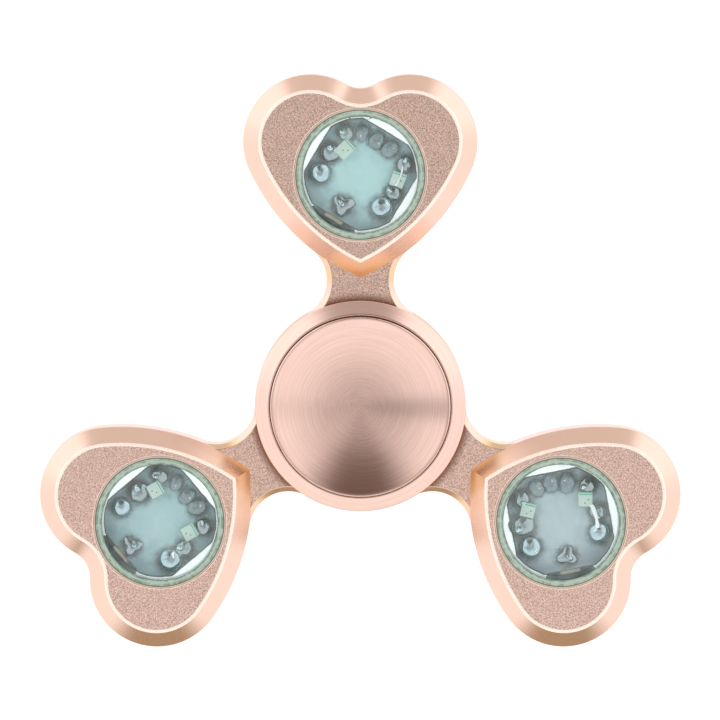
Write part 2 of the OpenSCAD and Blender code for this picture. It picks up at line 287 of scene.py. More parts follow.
class Graph(NodeTree):
    """A material's nodes."""

    def __init__(self, name):
        self.material = bpy.data.materials.new(name)
        self.material.use_nodes = True
        super().__init__(self.material.node_tree)
        self.bsdf = self.tree.nodes["Principled BSDF"]

    def place(self):
        """The point in millimetres, fixed to the piece."""
        coords = self.node("TexCoord").outputs["Object"]
        scale = self.node("VectorMath", operation="SCALE")
        self.link(coords, scale.inputs[0])
        scale.inputs["Scale"].default_value = 1 / MM
        return scale.outputs[0]

    def noise(self, size, detail=2, roughness=0.5, distortion=0):
        """Noise whose features are about this many millimetres across."""
        made = self.node("TexNoise")
        made.inputs["Scale"].default_value = 1 / size
        made.inputs["Detail"].default_value = detail
        made.inputs["Roughness"].default_value = roughness
        made.inputs["Distortion"].default_value = distortion
        self.link(self.place(), made.inputs["Vector"])
        return made.outputs["Fac"]

    def radius(self, centre=(0, 0)):
        """Distance in millimetres from a vertical axis."""
        moved = self.node("VectorMath", operation="SUBTRACT")
        self.link(self.place(), moved.inputs[0])
        moved.inputs[1].default_value = (centre[0], centre[1], 0)
        flat = self.node("VectorMath", operation="MULTIPLY")
        self.link(moved.outputs[0], flat.inputs[0])
        flat.inputs[1].default_value = (1, 1, 0)
        length = self.node("VectorMath", operation="LENGTH")
        self.link(flat.outputs[0], length.inputs[0])
        return length.outputs["Value"]

    def rings(self, size):
        """Turning marks: noise that only changes with the distance from the spin axis."""
        made = self.node("TexNoise", noise_dimensions="1D")
        made.inputs["Scale"].default_value = 1 / size
        made.inputs["Detail"].default_value = 2
        self.link(self.radius(), made.inputs["W"])
        return made.outputs["Fac"]

    def arcs(self, size, around=1.2):
        """Turning marks that start and stop: noise stretched along circles about the spin axis."""
        parts = self.node("SeparateXYZ")
        self.link(self.place(), parts.inputs[0])
        angle = self.math("ARCTAN2", parts.outputs[1], parts.outputs[0])
        polar_place = self.node("CombineXYZ")
        self.link(self.math("DIVIDE", self.radius(), size), polar_place.inputs[0])
        self.link(self.math("MULTIPLY", angle, around), polar_place.inputs[1])
        made = self.node("TexNoise")
        made.inputs["Scale"].default_value = 1
        made.inputs["Detail"].default_value = 3
        self.link(polar_place.outputs[0], made.inputs["Vector"])
        return made.outputs["Fac"]

    def bump(self, height, depth, strength):
        """Height in units of depth millimetres."""
        made = self.node("Bump")
        made.inputs["Strength"].default_value = strength
        made.inputs["Distance"].default_value = depth * MM
        self.link(height, made.inputs["Height"])
        return made.outputs["Normal"]

    def set(self, **values):
        """Sets or links the shader's own sockets."""
        for key, value in values.items():
            socket = self.bsdf.inputs[NAMES[key]]
            if isinstance(value, tuple):
                socket.default_value = (*value, 1) if len(value) == 3 else value
            elif isinstance(value, (int, float)):
                socket.default_value = value
            else:
                self.link(value, socket)
        return self


NAMES = {"colour": "Base Color", "rough": "Roughness", "metal": "Metallic", "normal": "Normal",
         "ior": "IOR", "clear": "Transmission Weight", "alpha": "Alpha", "coat": "Coat Weight",
         "coat_rough": "Coat Roughness", "glow": "Emission Strength", "glow_colour": "Emission Color",
         "brushed": "Anisotropic", "brush_turn": "Anisotropic Rotation", "tangent": "Tangent",
         "subsurface": "Subsurface Weight", "subsurface_scale": "Subsurface Scale"}


def blasted_metal():
    """Rose-gold anodising over a blasted, slightly worm-like grain, a shade deeper on the first arm, with
    painted shade and a warm painted reflection on the necks beside the hub.
    """
    g = Graph("blasted_rose_gold")
    grain = g.noise(0.13, detail=2, roughness=0.5, distortion=0.8)
    crisp = g.span(grain, 0.34, 0.66)
    length = g.node("SeparateXYZ")
    g.link(g.place(), length.inputs[0])
    patches = g.math("ADD", length.outputs[1], g.math("MULTIPLY", g.noise(7, detail=3), 10))
    tone = g.span(patches, -12, 30)
    light = g.mix(tone, (0.95, 0.70, 0.61), (0.85, 0.625, 0.535))
    dark = g.mix(tone, (0.48, 0.33, 0.265), (0.40, 0.275, 0.215))
    colour = g.mix(crisp, dark, light)
    # Painted shade and warm painted reflection: the grain turns deep brown at the hub ring and fades out
    # about 1.3 mm beyond it.
    near_hub = g.span(g.radius(), HUB_R - 0.3, HUB_R + 1.3, 1.0, 0.0)
    hub_painted_shade = g.mix(near_hub, colour, (0.20, 0.085, 0.045))
    deep = g.bump(grain, 0.09, 0.8)
    g.set(metal=1.0, colour=hub_painted_shade, normal=deep, rough=g.span(grain, 0.3, 0.7, 0.5, 0.38))
    return g.material


def machined_metal():
    """Bright milled bevels with faint tool marks, and a painted golden reflection at each heart's point."""
    g = Graph("milled_rose_gold")
    soft = g.noise(2.2, detail=4)
    fine = g.noise(0.14, detail=2)
    colour = g.mix(soft, (0.95, 0.695, 0.585), (0.92, 0.665, 0.55))
    out = g.radius()
    # Painted reflection: golden in a band 15 to 20 mm from the spin axis, where the hearts' points are.
    point_reflection = g.math("MULTIPLY", g.span(out, 15.0, 15.8), g.span(out, 15.8, 20.0, 1.0, 0.0))
    colour = g.mix(point_reflection, colour, (0.93, 0.65, 0.40))
    g.set(metal=1.0, colour=colour, rough=g.span(fine, 0.2, 0.8, 0.17, 0.26), normal=g.bump(fine, 0.004, 0.6))
    return g.material


def painted_edge_highlight():
    """A painted highlight for the narrow line where two machined faces meet: pale and only partly metallic.
    """
    g = Graph("edge_highlight_paint")
    highlight_patches = g.noise(1.4, detail=4)
    colour = g.mix(highlight_patches, (0.97, 0.78, 0.67), (1.0, 0.86, 0.76))
    g.set(metal=0.25, colour=colour, rough=g.span(highlight_patches, 0.2, 0.8, 0.2, 0.35))
    return g.material


def turned_metal(name, base, shade, rough, brushed, brush_turn, depth):
    """Metal turned about the spin axis: broken arcs of tool marks, and a highlight stretched along them, or
    across them when brush_turn is a quarter."""
    g = Graph(name)
    marks = g.arcs(0.16)
    specks = g.noise(0.16, detail=1)
    colour = g.mix(g.span(marks, 0.35, 0.65), shade, base)
    bright = g.mix(g.span(specks, 0.74, 0.8, 0.0, 0.5), colour, (1.0, 0.9, 0.82))
    tangent = g.node("Tangent", direction_type="RADIAL", axis="Z")
    g.set(metal=1.0, colour=bright, rough=rough, brushed=brushed, brush_turn=brush_turn,
          tangent=tangent.outputs[0], normal=g.bump(marks, depth, 0.8))
    return g.material


def plain_metal(name, colour, rough, grain=0.3, rings=False):
    g = Graph(name)
    soft = g.rings(0.2) if rings else g.noise(grain, detail=3)
    low = tuple(c * 0.88 for c in colour)
    g.set(metal=1.0, colour=g.mix(soft, low, colour), rough=g.span(soft, 0.2, 0.8, rough, rough * 1.5),
          normal=g.bump(soft, 0.006, 0.6))
    return g.material


def plastic(name, colour, rough=0.35, grain=0.25, depth=0.008, **more):
    g = Graph(name)
    soft = g.noise(3.0, detail=3)
    fine = g.noise(grain, detail=2)
    low = tuple(c * 0.93 for c in colour)
    g.set(colour=g.mix(soft, low, colour), rough=g.span(fine, 0.2, 0.8, rough * 0.8, rough * 1.2),
          normal=g.bump(fine, depth, 0.6), **more)
    return g.material


def case_plastic(arm):
    """Green-tinted clear wall: streaked, darker where it meets the lens, with a dark line and a painted
    reflection of the metal at its outer edge."""
    centre = polar(ARM_REACH, ARM_ANGLE[arm])
    g = Graph("clear_green_plastic_" + arm)
    r = g.radius(centre)
    streaks = g.noise(0.9, detail=4, distortion=1.2)
    band = g.mix(g.span(streaks, 0.35, 0.65), (0.20, 0.30, 0.245), (0.42, 0.54, 0.47))
    pale = g.mix(g.math("MULTIPLY", g.span(r, 7.2, 7.32), g.span(r, 7.5, 7.38)), band, (0.46, 0.54, 0.42))
    inner = g.mix(g.span(r, 7.14, 7.02), pale, (0.13, 0.20, 0.165))
    line = g.mix(g.span(r, 7.66, 7.76), inner, (0.13, 0.14, 0.10))
    # Painted reflection: the metal's rose-gold colour on the wall's outer rim.
    edge = g.mix(g.span(r, 7.80, 7.88), line, (0.66, 0.53, 0.44))
    g.set(colour=edge, rough=0.12, clear=0.15, ior=1.49, coat=0.4, coat_rough=0.05,
          normal=g.bump(streaks, 0.03, 0.5))
    return g.material


def lens_plastic():
    g = Graph("clear_lens_plastic")
    haze = g.noise(2.6, detail=4, distortion=0.8)
    g.set(colour=g.mix(haze, (0.50, 0.66, 0.68), (0.66, 0.80, 0.80)), rough=0.04,
          alpha=g.span(haze, 0.3, 0.75, 0.03, 0.12), coat=1.0, coat_rough=0.02)
    return g.material


def board_laminate(arm, joints):
    """Pale teal board: cloudy, darker and greyer towards the rim, with dark halos round its joints that are
    flux residue and painted shadow.
    """
    centre = polar(ARM_REACH, ARM_ANGLE[arm])
    g = Graph("teal_board_" + arm)
    r = g.radius(centre)
    cloud = g.noise(1.7, detail=4, distortion=0.6)
    wisps = g.noise(0.7, detail=4, roughness=0.6, distortion=0.8)
    specks = g.noise(0.3, detail=1)
    reach = g.math("ADD", r, g.math("MULTIPLY", g.math("SUBTRACT", cloud, 0.5), 5.0))
    middle, outer = BOARD_TINTS[arm]
    colour = g.mix(g.span(reach, 1.8, 6.2), middle, outer)
    uneven = g.math("MULTIPLY", g.math("SUBTRACT", wisps, 0.5), 1.3)
    # Flux residue and painted shadow: a ragged dark halo round each joint.
    for _, spot, radius, _ in joints:
        place = board_matrix(arm) @ Vector((spot.x * 1.03, spot.y * 1.03, 0))
        away = g.math("ADD", g.radius(place), uneven)
        colour = g.mix(g.span(away, radius * 0.8, radius * 1.7, 0.88, 0.0), colour, (0.065, 0.06, 0.05))
    spotted = g.mix(g.span(specks, 0.76, 0.84, 0.0, 0.6), colour, (0.06, 0.05, 0.04))
    g.set(colour=spotted, rough=0.25, coat=0.6, coat_rough=0.08, normal=g.bump(cloud, 0.06, 0.5))
    return g.material


BOARD_TINTS = {"top": ((0.37, 0.61, 0.61), (0.235, 0.37, 0.39)),
               "left": ((0.35, 0.53, 0.55), (0.21, 0.33, 0.35)),
               "right": ((0.40, 0.51, 0.54), (0.25, 0.335, 0.37))}
BLASTED = blasted_metal()
MILLED = machined_metal()
EDGES = painted_edge_highlight()
TURNED = turned_metal("turned_rose_gold_hub", base=(0.95, 0.69, 0.60), shade=(0.90, 0.64, 0.55),
                      rough=0.2, brushed=0.4, brush_turn=0.0, depth=0.002)
# Painted shade: the hub's outer wall is a deeper, browner copy of the turned metal, so the bevels mirror it
# darker.
SHADED_HUB_WALL = plain_metal("hub_wall_painted_shade", (0.90, 0.60, 0.40), 0.3)
CAP_METAL = turned_metal("turned_rose_gold_cap", base=(0.93, 0.66, 0.575), shade=(0.86, 0.60, 0.515),
                         rough=0.17, brushed=0.7, brush_turn=0.25, depth=0.003)
STEEL = plain_metal("bearing_steel", (0.62, 0.63, 0.65), 0.16)
SHIELD_STEEL = plain_metal("shield_steel", (0.52, 0.53, 0.55), 0.3, rings=True)
NYLON = plastic("cage_nylon", (0.78, 0.74, 0.62), 0.4)
WHITE = plastic("white_moulding", (0.86, 0.90, 0.89), 0.4)
# Painted light: the sleeve glows faintly, standing in for the light the clear case throws into the gap round
# the board.
GLOWING_SLEEVE = plastic("glowing_white_sleeve", (0.88, 0.96, 0.96), 0.3, glow=0.5, glow_colour=(0.9, 1.0, 1.0))
EPOXY = plastic("black_epoxy", (0.02, 0.02, 0.022), 0.3)
CELL_STEEL = plain_metal("cell_steel", (0.66, 0.66, 0.65), 0.24, grain=0.5)
CONTACT = plain_metal("contact_metal", (0.70, 0.62, 0.44), 0.28)
BUTTON = plastic("button_plastic", (0.80, 0.86, 0.83), 0.3, subsurface=0.3, subsurface_scale=0.001)
SOLDER = plain_metal("solder", (0.40, 0.48, 0.50), 0.12, grain=0.9)
BEAD_SOLDER = plain_metal("smooth_solder", (0.52, 0.70, 0.76), 0.1, grain=1.6)
HAZY_SOLDER = plastic("hazy_solder", (0.20, 0.27, 0.29), 0.28, grain=0.7, depth=0.03, metal=0.4, coat=0.8)
# Painted highlight: near-white glints set on the solder, also used for the lead.
GLINT = plastic("bright_glint", (0.86, 0.95, 0.96), 0.15, grain=0.8, coat=0.6)
# Flux and painted shadow: dark pools round the joints, and the board's edge.
FLUX_AND_SHADOW = plastic("dark_flux_and_shadow", (0.115, 0.105, 0.09), 0.3, grain=0.3, depth=0.02)
LED_BODY = plastic("led_moulding", (0.47, 0.62, 0.555), 0.35)
LED_GREEN = plastic("led_polarity_mark", (0.03, 0.42, 0.28), 0.4)
DARK_SPOT = plastic("dark_contact_spot", (0.035, 0.035, 0.03), 0.4)
MOULD_LINE = plastic("moulding_line", (0.20, 0.22, 0.18), 0.25, coat=0.6)
LENS = lens_plastic()


# ---------------------------------------------------------------- body

def heart(bm, arm):
    """One arm's heart: a bevelled plate with the bore for its capsule."""
    start = len(bm.verts)
    edge = [(BEVEL + 0.3, FACE), (BEVEL, FACE), (0, FACE - BEVEL), (0, BEVEL - FACE), (BEVEL, -FACE),
            (BEVEL + 0.3, -FACE)]
    profile = rounded(edge, EDGE_SIZE)
    levels = [[bm.verts.new((p.x, p.y, z)) for p in heart_ring(inset)] for inset, z in profile]
    for k in range(len(levels) - 1):
        on_edge = profile[k].x > BEVEL - EDGE_SIZE and profile[k + 1].x > BEVEL - EDGE_SIZE
        bridge(bm, levels[k], levels[k + 1], EDGE if on_edge else MILL)
    mouth = CAPSULE_BORE_R + 0.12
    throat = FACE - 0.15
    bore = [(mouth, FACE), (CAPSULE_BORE_R, throat), (CAPSULE_BORE_R, -throat), (mouth, -FACE)]
    rings = lathe(bm, rounded(bore, 0.04), steps=180, slot=EDGE)
    fill_between(bm, levels[0], rings[0], FLAT)
    fill_between(bm, levels[-1], rings[-1], FLAT)
    bm.verts.ensure_lookup_table()
    bmesh.ops.transform(bm, matrix=arm_matrix(arm), verts=bm.verts[start:])


def neck(bm, arm):
    """The lower plate between hub and heart, hollow at both sides."""
    start = len(bm.verts)
    to_hub = heading(HUB_C - HOLLOW_C) % 360
    to_heart = heading(SIDE_C - HOLLOW_C)
    edge = rounded([(NECK_BEVEL + 0.1, NECK_Z), (NECK_BEVEL, NECK_Z), (0, NECK_Z - NECK_BEVEL),
                    (0, NECK_BEVEL - NECK_Z), (NECK_BEVEL, -NECK_Z), (NECK_BEVEL + 0.1, -NECK_Z)], 0.06)
    steps = 48
    sections = []
    for i in range(-1, steps + 2):
        a = to_hub + (to_heart - to_hub) * min(max(i, 0), steps) / steps
        right = []
        for inset, z in edge:
            p = HOLLOW_C + polar(HOLLOW_R + inset, a)
            if i < 0:
                p = HUB_C + (p - HUB_C) * NECK_INTO_HUB_R / HUB_R
            if i > steps:
                p = p + (SIDE_C - p).normalized() * NECK_INTO_HEART
            right.append(Vector((p.x, p.y, z)))
        left = [Vector((-p.x, p.y, p.z)) for p in reversed(right)]
        sections.append([bm.verts.new(p) for p in right + left])
    half = len(edge)
    for a, b in zip(sections, sections[1:]):
        for k in range(2 * half):
            m = (k + 1) % (2 * half)
            face = bm.faces.new([a[k], a[m], b[m], b[k]])
            face.material_index = FLAT if k in (half - 1, 2 * half - 1, 0, half - 2, half) else MILL
    for section in (sections[0], sections[-1]):
        bm.faces.new(section)
    bm.verts.ensure_lookup_table()
    bmesh.ops.transform(bm, matrix=arm_matrix(arm), verts=bm.verts[start:])


def hub(bm):
    """The ring round the bearing, bevelled at both faces."""
    low = FACE - HUB_BEVEL
    ring = [(BORE_R, FACE), (HUB_LIP_R, FACE), (HUB_R, low), (HUB_R, -low), (HUB_LIP_R, -FACE),
            (BORE_R, -FACE)]
    profile = [(r, z + MID) for r, z in rounded(ring, 0.07, closed=True)]
    start = len(bm.faces)
    lathe(bm, profile, steps=240, slot=TURN, closed=True)
    bm.faces.ensure_lookup_table()
    for face in bm.faces[start:]:
        if all(v.co.xy.length > HUB_R - 0.02 for v in face.verts):
            face.material_index = WALL


def spinner_body():
    """Three hearts, three necks and the hub: seven separate shells that overlap where they join."""
    bm = bmesh.new()
    for arm in ARMS:
        heart(bm, arm)
        neck(bm, arm)
    hub(bm)
    make_piece("machined_body", bm, [BLASTED, MILLED, TURNED, EDGES, SHADED_HUB_WALL], "spinner",
               ["spinner_body"], crease=24)


# ---------------------------------------------------------------- finger caps

def cap(name, node, side):
    """A dished, turned finger cap. side is 1 for the front and -1 for the rear."""
    bm = bmesh.new()
    steps = 40
    dish = [(DISH_R * t / steps, CAP_RIM_Z - DISH_DEPTH * (1 - (t / steps) ** 2)) for t in range(steps + 1)]
    core_r, core_end = (SOCKET_R, SOCKET_LENGTH) if side > 0 else (STUD_R, -STUD_LENGTH)
    core = [(core_r, CAP_SPLIT_Z), (core_r, core_end), (0, core_end)]
    outside = [(CAP_R - 0.1, CAP_RIM_Z), (CAP_R, CAP_RIM_Z - 0.12), (CAP_R, CAP_FLANGE_Z),
               (CAP_BOSS_R, CAP_FLANGE_Z), (CAP_BOSS_R, CAP_BOSS_Z), (CAP_SLEEVE_R, CAP_BOSS_Z),
               (CAP_SLEEVE_R, CAP_SPLIT_Z)]
    tail = rounded([dish[-1]] + outside + core, 0.05)
    profile = dish[:-1] + tail
    lathe(bm, [(r, MID + side * z) for r, z in profile], steps=240)
    make_piece(name, bm, [CAP_METAL], "core", [node], crease=35)


# ---------------------------------------------------------------- light capsules

# Each joint is (angle, reach, radius, height) on its board.
JOINTS = {"post": (0, 4.4, 1.15, 0.5), "bead": (63, 4.8, 1.35, 0.7), "ring_a": (92, 4.5, 1.15, 0.65),
          "end_a": (133, 5.3, 1.1, 0.55), "hazy_a": (160, 4.8, 1.05, 0.5), "hazy_b": (184, 4.6, 0.95, 0.4),
          "hazy_c": (206, 5.0, 0.95, 0.45), "end_b": (231, 5.4, 1.1, 0.55), "ring_b": (266, 4.4, 1.35, 0.7),
          "pearl": (300, 4.9, 1.25, 0.65)}

# Each lead is (from joint, to joint, share of the way it starts at, share it ends at, width).
LEADS = {"top": ("end_a", "ring_a", 0.05, 0.75, 0.16), "right": ("end_a", "bead", 0.4, 0.9, 0.42)}
LED_SIDE = 1.7

# Each diode is (angle, reach, turn, stretch) on its board.
LEDS = {"top": ((113, 4.6, 101, 1.0), (240, 3.6, 76, 1.45)),
        "left": ((120, 3.8, 80, 1.0), (238, 3.9, 80, 1.0)),
        "right": ((121, 4.0, 79, 1.0), (240, 4.2, 66, 1.0))}
BOARD_R = 6.82
BOARD_FLAT = 6.05
BOARD_TOP = 2.7
BOARD_LOW = 1.9
SLEEVE_IN_R = 6.32
SLEEVE_OUT_R = 6.95
SLEEVE_RIM_R = 6.9
SLEEVE_LOW = -1.6
SLEEVE_SEAT = 1.85
SLEEVE_LIP = 2.5
SLEEVE_SHOULDER = 2.55
SLEEVE_TOP = 2.62
SLEEVE_OPEN_ANGLE = 25
LED_HEIGHT = 0.7
LED_MARK_LOW = 0.66
LED_SPOT_SIDE = 0.16
LED_SPOTS = ((-0.15, -0.5), (0.28, -0.1))


def dome(bm, centre, radius, height, slot, seed, lobes=0, lobe_size=0.0, lumps=0.12, turn=0.0):
    """A lumpy drop of solder, standing on the board."""
    steps, rows = 40, 12
    rings = []
    for row in range(rows + 1):
        t = row / rows
        out = math.cos(t * math.pi / 2) ** 0.8
        up = math.sin(t * math.pi / 2)
        ring = []
        for i in range(steps if row < rows else 1):
            a = 2 * math.pi * i / steps
            p = Vector((math.cos(a) * out, math.sin(a) * out, up))
            bump = 1 + lumps * noise.noise(p * 1.9 + Vector((seed * 7.3, seed * 3.1, seed)))
            wave = 1 + lobe_size * math.cos(lobes * (a - turn)) * out if lobes else 1
            ring.append(bm.verts.new((centre.x + p.x * radius * bump * wave,
                                      centre.y + p.y * radius * bump * wave,
                                      BOARD_TOP + p.z * height * bump)))
        rings.append(ring)
    for a, b in zip(rings, rings[1:]):
        bridge(bm, a, b, slot)
    floor = bm.faces.new(rings[0])
    floor.material_index = slot


def flux_shadow_pool(bm, centre, radius, seed, amount=0.2):
    """A thin irregular pool of flux round a joint, which also serves as painted shadow."""
    steps = 36
    rings = []
    for scale, z in ((1.0, BOARD_TOP), (0.9, BOARD_TOP + 0.03)):
        ring = []
        for i in range(steps):
            a = 2 * math.pi * i / steps
            r = radius * scale * (1 + amount * noise.noise(Vector((math.cos(a), math.sin(a), seed)) * 1.4))
            ring.append(bm.verts.new((centre.x + r * math.cos(a), centre.y + r * math.sin(a), z)))
        rings.append(ring)
    bridge(bm, rings[0], rings[1], FLUX_SHADOW_SLOT)
    for ring in rings:
        face = bm.faces.new(ring)
        face.material_index = FLUX_SHADOW_SLOT


def board_outline(seed, gap=0.0, steps=240):
    """A round board with four flats, its edge broken off by hand."""
    out = []
    for i in range(steps):
        a = 2 * math.pi * i / steps
        flat = BOARD_FLAT / max(abs(math.cos(a)), abs(math.sin(a)))
        rough = 0.05 * noise.noise(Vector((math.cos(a) * 6, math.sin(a) * 6, seed * 5)))
        rough += 0.03 * noise.noise(Vector((math.cos(a) * 22, math.sin(a) * 22, seed * 3)))
        r = min(BOARD_R, flat) + rough + gap
        out.append(Vector((r * math.cos(a), r * math.sin(a))))
    return out


def board(arm, seed, joints):
    """The circuit board, with a dark, slightly ragged edge: painted shade in the gap round the board."""
    bm = bmesh.new()
    outline = board_outline(seed)
    levels = [(1.0, BOARD_LOW), (1.0, BOARD_TOP - 0.06), (0.997, BOARD_TOP), (0.978, BOARD_TOP)]
    rings = [[bm.verts.new((p.x * s, p.y * s, z)) for p in outline] for s, z in levels]
    # The side faces take the dark flux-and-shadow material in slot 1: painted shade round the board's edge.
    for a, b in zip(rings, rings[1:]):
        bridge(bm, a, b, 1)
    bottom = bm.faces.new(rings[0])
    top = bm.faces.new(rings[-1])
    bottom.material_index = 0
    top.material_index = 0
    bmesh.ops.transform(bm, matrix=board_matrix(arm), verts=bm.verts)
    make_piece("light_board_" + arm, bm, [board_laminate(arm, joints), FLUX_AND_SHADOW], "spinner",
               ["circuit_board_" + arm])


def sleeve(arm, seed):
    """The white sleeve fills the gap round the board, and is open beside the positive contact."""
    bm = bmesh.new()
    inner = board_outline(seed, 0.04)
    count = len(inner)
    corners = (("in", SLEEVE_LOW), ("out", SLEEVE_LOW), ("out", SLEEVE_SHOULDER), ("rim", SLEEVE_TOP),
               ("rim_in", SLEEVE_TOP), ("step", SLEEVE_LIP), ("step", SLEEVE_SEAT), ("in", SLEEVE_SEAT))
    rings = []
    for kind, z in corners:
        ring = []
        for i, p in enumerate(inner):
            degrees = 360 * i / count
            if degrees < SLEEVE_OPEN_ANGLE or degrees > 360 - SLEEVE_OPEN_ANGLE:
                continue
            radius = {"in": SLEEVE_IN_R, "out": SLEEVE_OUT_R, "rim": SLEEVE_RIM_R,
                      "rim_in": min(p.length + 0.02, SLEEVE_RIM_R - 0.01), "step": p.length}[kind]
            ring.append(bm.verts.new((*polar(radius, degrees), z)))
        rings.append(ring)
    for a, b in zip(rings, rings[1:] + rings[:1]):
        bridge(bm, a, b, 0, closed=False)
    for end in (0, -1):
        bm.faces.new([ring[end] for ring in rings])
    bmesh.ops.transform(bm, matrix=board_matrix(arm), verts=bm.verts)
    make_piece("glowing_white_sleeve_" + arm, bm, [GLOWING_SLEEVE], "spinner",
               ["reflector_ring_" + arm])


def strip(bm, start, end, width, thick, base, slot, bow=0.0):
    """A flat lead between two points of the board."""
    along = (end - start).normalized()
    across = Vector((-along.y, along.x))
    rings = []
    steps = 8
    for i in range(steps + 1):
        t = i / steps
        p = start.lerp(end, t) + across * bow * math.sin(math.pi * t)
        lift = 0.12 * math.sin(math.pi * t)
        w = width * (0.5 + 0.12 * math.sin(2.6 * math.pi * t))
        rings.append([bm.verts.new((*(p + across * s * w), base + z * thick + lift))
                      for s, z in ((-1, 0), (-1, 0.7), (-0.8, 1), (0.8, 1), (1, 0.7), (1, 0))])
    for a, b in zip(rings, rings[1:]):
        bridge(bm, a, b, slot)
    for ring in (rings[0], rings[-1]):
        face = bm.faces.new(ring)
        face.material_index = slot


def joint_places(seed):
    """Where each joint of one board is, with the small scatter of hand soldering."""
    rand = random.Random(seed)
    places = []
    for name, (angle, reach, radius, height) in JOINTS.items():
        centre = polar(reach, angle) + Vector((rand.uniform(-0.15, 0.15), rand.uniform(-0.15, 0.15)))
        places.append((name, centre, radius * rand.uniform(0.92, 1.08), height))
    return places


def joint(bm, name, centre, radius, height, key):
    """One soldered joint: a three-armed post, a smooth bead, a cloudy blob or a lumpy ring on a pool of flux
    and painted shadow; all but the post carry a small near-white painted glint.
    """
    kind = name.split("_")[0]
    turn = key * 1.7
    side = polar(radius * 0.4, math.degrees(turn) * 3)
    if kind == "post":
        dome(bm, centre, radius, height, DULL, key, lobes=3, lobe_size=0.28, lumps=0.1, turn=turn)
        dome(bm, centre + polar(0.25, math.degrees(turn)), radius * 0.42, height + 0.2, SMOOTH,
             key + 5, lobes=2, lobe_size=0.4, lumps=0.1, turn=turn)
    elif kind in ("bead", "pearl"):
        dome(bm, centre, radius, height, SMOOTH, key, lumps=0.05)
        dome(bm, centre - side, radius * 0.42, height - 0.04, PAINTED_GLINT, key + 3, lobes=2,
             lobe_size=0.4, lumps=0.15, turn=turn)
    elif kind == "hazy":
        dome(bm, centre, radius, height, CLOUDY, key, lobes=2, lobe_size=0.16, lumps=0.15,
             turn=math.atan2(centre.y, centre.x))
        dome(bm, centre + side, radius * 0.2, height, PAINTED_GLINT, key + 4, lumps=0.35)
    else:
        # Flux and painted shadow: a dark pool shifted a little outward from the joint.
        flux_shadow_pool(bm, centre + centre.normalized() * 0.2, radius * 1.04, key)
        dome(bm, centre, radius * 0.92, height, DULL, key, lobes=2, lobe_size=0.08, lumps=0.1,
             turn=turn)
        dome(bm, centre + side, radius * 0.4, height + 0.16, SMOOTH, key + 4, lumps=0.1)
        dome(bm, centre + side * 1.4, radius * 0.22, height + 0.2, PAINTED_GLINT, key + 6, lobes=2,
             lobe_size=0.3, lumps=0.2, turn=turn)


def solder(arm, seed, joints):
    """Every joint of one board, and the lead that crosses two of the boards, bright with the painted-glint
    finish.
    """
    bm = bmesh.new()
    for index, (name, centre, radius, height) in enumerate(joints):
        joint(bm, name, centre, radius, height, seed * 10 + index)
    if arm in LEADS:
        from_name, to_name, start, end, width = LEADS[arm]
        first = polar(JOINTS[from_name][1], JOINTS[from_name][0])
        last = polar(JOINTS[to_name][1], JOINTS[to_name][0])
        strip(bm, first.lerp(last, start), first.lerp(last, end), width, 0.1,
              BOARD_TOP + 0.62, PAINTED_GLINT, bow=0.15)
    bmesh.ops.transform(bm, matrix=board_matrix(arm), verts=bm.verts)
    make_piece("soldered_joints_" + arm, bm, [SOLDER, BEAD_SOLDER, HAZY_SOLDER, FLUX_AND_SHADOW, GLINT], "spinner",
               ["solder_joints_" + arm], crease=60)


def block(bm, low, high, slot, matrix, round_off):
    """A box with small bevels."""
    made = bmesh.ops.create_cube(bm, size=1)
    verts = made["verts"]
    size = Vector(high) - Vector(low)
    centre = (Vector(high) + Vector(low)) / 2
    bmesh.ops.scale(bm, vec=size, verts=verts)
    bmesh.ops.translate(bm, vec=centre, verts=verts)
    edges = list({e for v in verts for e in v.link_edges})
    faces = list({f for v in verts for f in v.link_faces})
    for face in faces:
        face.material_index = slot
    done = bmesh.ops.bevel(bm, geom=edges, offset=round_off, segments=2, affect="EDGES", profile=0.5)
    verts = list({v for f in done["faces"] for v in f.verts} | {v for v in verts if v.is_valid})
    bmesh.ops.transform(bm, matrix=matrix, verts=verts)


def leds(arm):
    """Two light-emitting diodes, each with a green polarity line, two contact spots and metal ends."""
    bm = bmesh.new()
    h = LED_SIDE / 2
    for angle, reach, turn, stretch in LEDS[arm]:
        spot = polar(reach, angle)
        place = Matrix.Translation((spot.x, spot.y, BOARD_TOP)) @ Matrix.Rotation(math.radians(turn), 4, "Z")
        low = h * stretch
        block(bm, (-h, -low, 0), (h, h, LED_HEIGHT), 0, place, 0.05)
        block(bm, (-h + 0.02, h - 0.3, LED_MARK_LOW), (h - 0.02, h - 0.16, 0.715), 1, place, 0.01)
        for x, y in LED_SPOTS:
            block(bm, (x, y, LED_MARK_LOW), (x + LED_SPOT_SIDE, y + LED_SPOT_SIDE, 0.712), 2, place, 0.01)
        block(bm, (-h + 0.05, -low - 0.13, 0.0), (h - 0.05, -low - 0.01, 0.25), 3, place, 0.03)
        block(bm, (-h + 0.05, h + 0.01, 0.0), (h - 0.05, h + 0.13, 0.25), 3, place, 0.03)
    bmesh.ops.transform(bm, matrix=board_matrix(arm), verts=bm.verts)
    make_piece("light_diodes_" + arm, bm, [LED_BODY, LED_GREEN, DARK_SPOT, SOLDER], "spinner",
               ["leds_" + arm])


